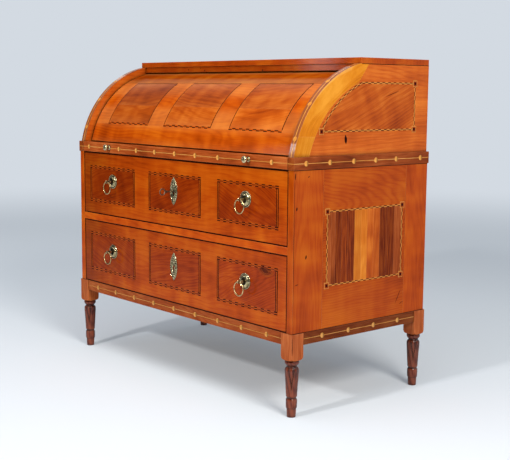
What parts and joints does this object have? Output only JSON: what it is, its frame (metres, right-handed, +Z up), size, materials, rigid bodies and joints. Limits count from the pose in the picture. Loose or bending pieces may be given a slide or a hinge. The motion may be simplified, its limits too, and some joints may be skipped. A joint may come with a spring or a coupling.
{
  "type": "cylinder desk",
  "caption": "Free-standing writing desk with a roll-back cylinder front linked to a pull-out writing slide, deep drawers below with ring pulls, and turned legs.",
  "frame": {"origin": "centre of the object's box at floor level", "axes": "+X across to the user's right facing the desk, +Y to the back, +Z up"},
  "size_m": [1.208, 0.662, 1.093],
  "materials": {
    "cherry": "french polished cherry",
    "walnut_band": "french polished walnut with maple inlay",
    "turned_leg": "stained and polished cherry",
    "lining": "bare softwood",
    "brass": "aged cast brass",
    "iron": "wrought iron"
  },
  "bodies": {
    "case": {"base_rail_back": "walnut_band", "base_rail_front": "walnut_band", "base_rail_left": "walnut_band", "base_rail_right": "walnut_band", "bottom_board": "lining", "cheek_left": "cherry", "cheek_right": "cherry", "cylinder_pivots": "iron", "drawer_divider_rail": "cherry", "drawer_runners": "lining", "gallery_shelves": "cherry", "gallery_top": "cherry", "gallery_uprights": "cherry", "leg_back_left": "turned_leg", "leg_back_right": "turned_leg", "leg_front_left": "turned_leg", "leg_front_right": "turned_leg", "lower_back_panel": "lining", "side_panel_left": "cherry", "side_panel_right": "cherry", "side_stiles_left": "cherry", "side_stiles_right": "cherry", "slide_bearers": "lining", "top_board": "cherry", "top_front_rail": "cherry", "upper_back_panel": "lining", "waist_band_left": "walnut_band", "waist_band_right": "walnut_band"},
    "bottom_bolt": {"bottom_lock_bolt": "iron"},
    "bottom_drawer": {"bottom_drawer_back": "lining", "bottom_drawer_bottom": "lining", "bottom_drawer_escutcheon": "brass", "bottom_drawer_front": "cherry", "bottom_drawer_lock": "iron", "bottom_drawer_pull_mounts": "brass", "bottom_drawer_sides": "lining"},
    "bottom_left_ring": {"bottom_ring_left": "brass"},
    "bottom_right_ring": {"bottom_ring_right": "brass"},
    "cylinder": {"cylinder_shell": "cherry", "cylinder_end_left": "lining", "cylinder_end_right": "lining"},
    "key": {"key": "iron"},
    "small_drawer_left": {"gallery_drawer_left": "cherry", "gallery_knob_left": "brass"},
    "small_drawer_right": {"gallery_drawer_right": "cherry", "gallery_knob_right": "brass"},
    "top_bolt": {"top_lock_bolt": "iron"},
    "top_drawer": {"top_drawer_back": "lining", "top_drawer_bottom": "lining", "top_drawer_escutcheon": "brass", "top_drawer_front": "cherry", "top_drawer_lock": "iron", "top_drawer_pull_mounts": "brass", "top_drawer_sides": "lining"},
    "top_left_ring": {"top_ring_left": "brass"},
    "top_right_ring": {"top_ring_right": "brass"},
    "writing_slide": {"writing_board": "cherry", "slide_front_band": "walnut_band", "slide_knobs": "brass", "slide_drop_arms": "lining"}
  },
  "joints": [
    {"name": "writing_slide_out", "type": "slide", "parent": "case", "child": "writing_slide", "axis": [0, -1, 0], "range_m": [0, 0.22998]},
    {"name": "cylinder_turn", "type": "hinge", "parent": "case", "child": "cylinder", "pos_m": [0, 0.07861, 0.72693], "axis": [-1, 0, 0], "range_deg": [0, 52.05]},
    {"name": "top_drawer_out", "type": "slide", "parent": "case", "child": "top_drawer", "axis": [0, -1, 0], "range_m": [0, 0.4]},
    {"name": "top_bolt_up", "type": "slide", "parent": "top_drawer", "child": "top_bolt", "axis": [0, 0, 1], "range_m": [0, 0.009]},
    {"name": "top_left_ring_swing", "type": "hinge", "parent": "top_drawer", "child": "top_left_ring", "pos_m": [-0.378, -0.2975, 0.65335], "axis": [-1, 0, 0], "range_deg": [-28, 150]},
    {"name": "top_right_ring_swing", "type": "hinge", "parent": "top_drawer", "child": "top_right_ring", "pos_m": [0.378, -0.2975, 0.65335], "axis": [-1, 0, 0], "range_deg": [-28, 150]},
    {"name": "bottom_drawer_out", "type": "slide", "parent": "case", "child": "bottom_drawer", "axis": [0, -1, 0], "range_m": [0, 0.4]},
    {"name": "bottom_bolt_up", "type": "slide", "parent": "bottom_drawer", "child": "bottom_bolt", "axis": [0, 0, 1], "range_m": [0, 0.009]},
    {"name": "bottom_left_ring_swing", "type": "hinge", "parent": "bottom_drawer", "child": "bottom_left_ring", "pos_m": [-0.378, -0.2975, 0.394], "axis": [-1, 0, 0], "range_deg": [-28, 150]},
    {"name": "bottom_right_ring_swing", "type": "hinge", "parent": "bottom_drawer", "child": "bottom_right_ring", "pos_m": [0.378, -0.2975, 0.394], "axis": [-1, 0, 0], "range_deg": [-28, 150]},
    {"name": "key_turn", "type": "hinge", "parent": "top_drawer", "child": "key", "pos_m": [0, -0.273, 0.64835], "axis": [0, 1, 0], "range_deg": [0, 180]},
    {"name": "small_drawer_left_out", "type": "slide", "parent": "case", "child": "small_drawer_left", "axis": [0, -1, 0], "range_m": [0, 0.15]},
    {"name": "small_drawer_right_out", "type": "slide", "parent": "case", "child": "small_drawer_right", "axis": [0, -1, 0], "range_m": [0, 0.15]}
  ],
  "couplings": [
    {"joint": "cylinder_turn", "follows": "writing_slide_out", "rad_per_m": 3.9495},
    {"joint": "key_turn", "follows": "top_bolt_up", "rad_per_m": 349.07}
  ]
}
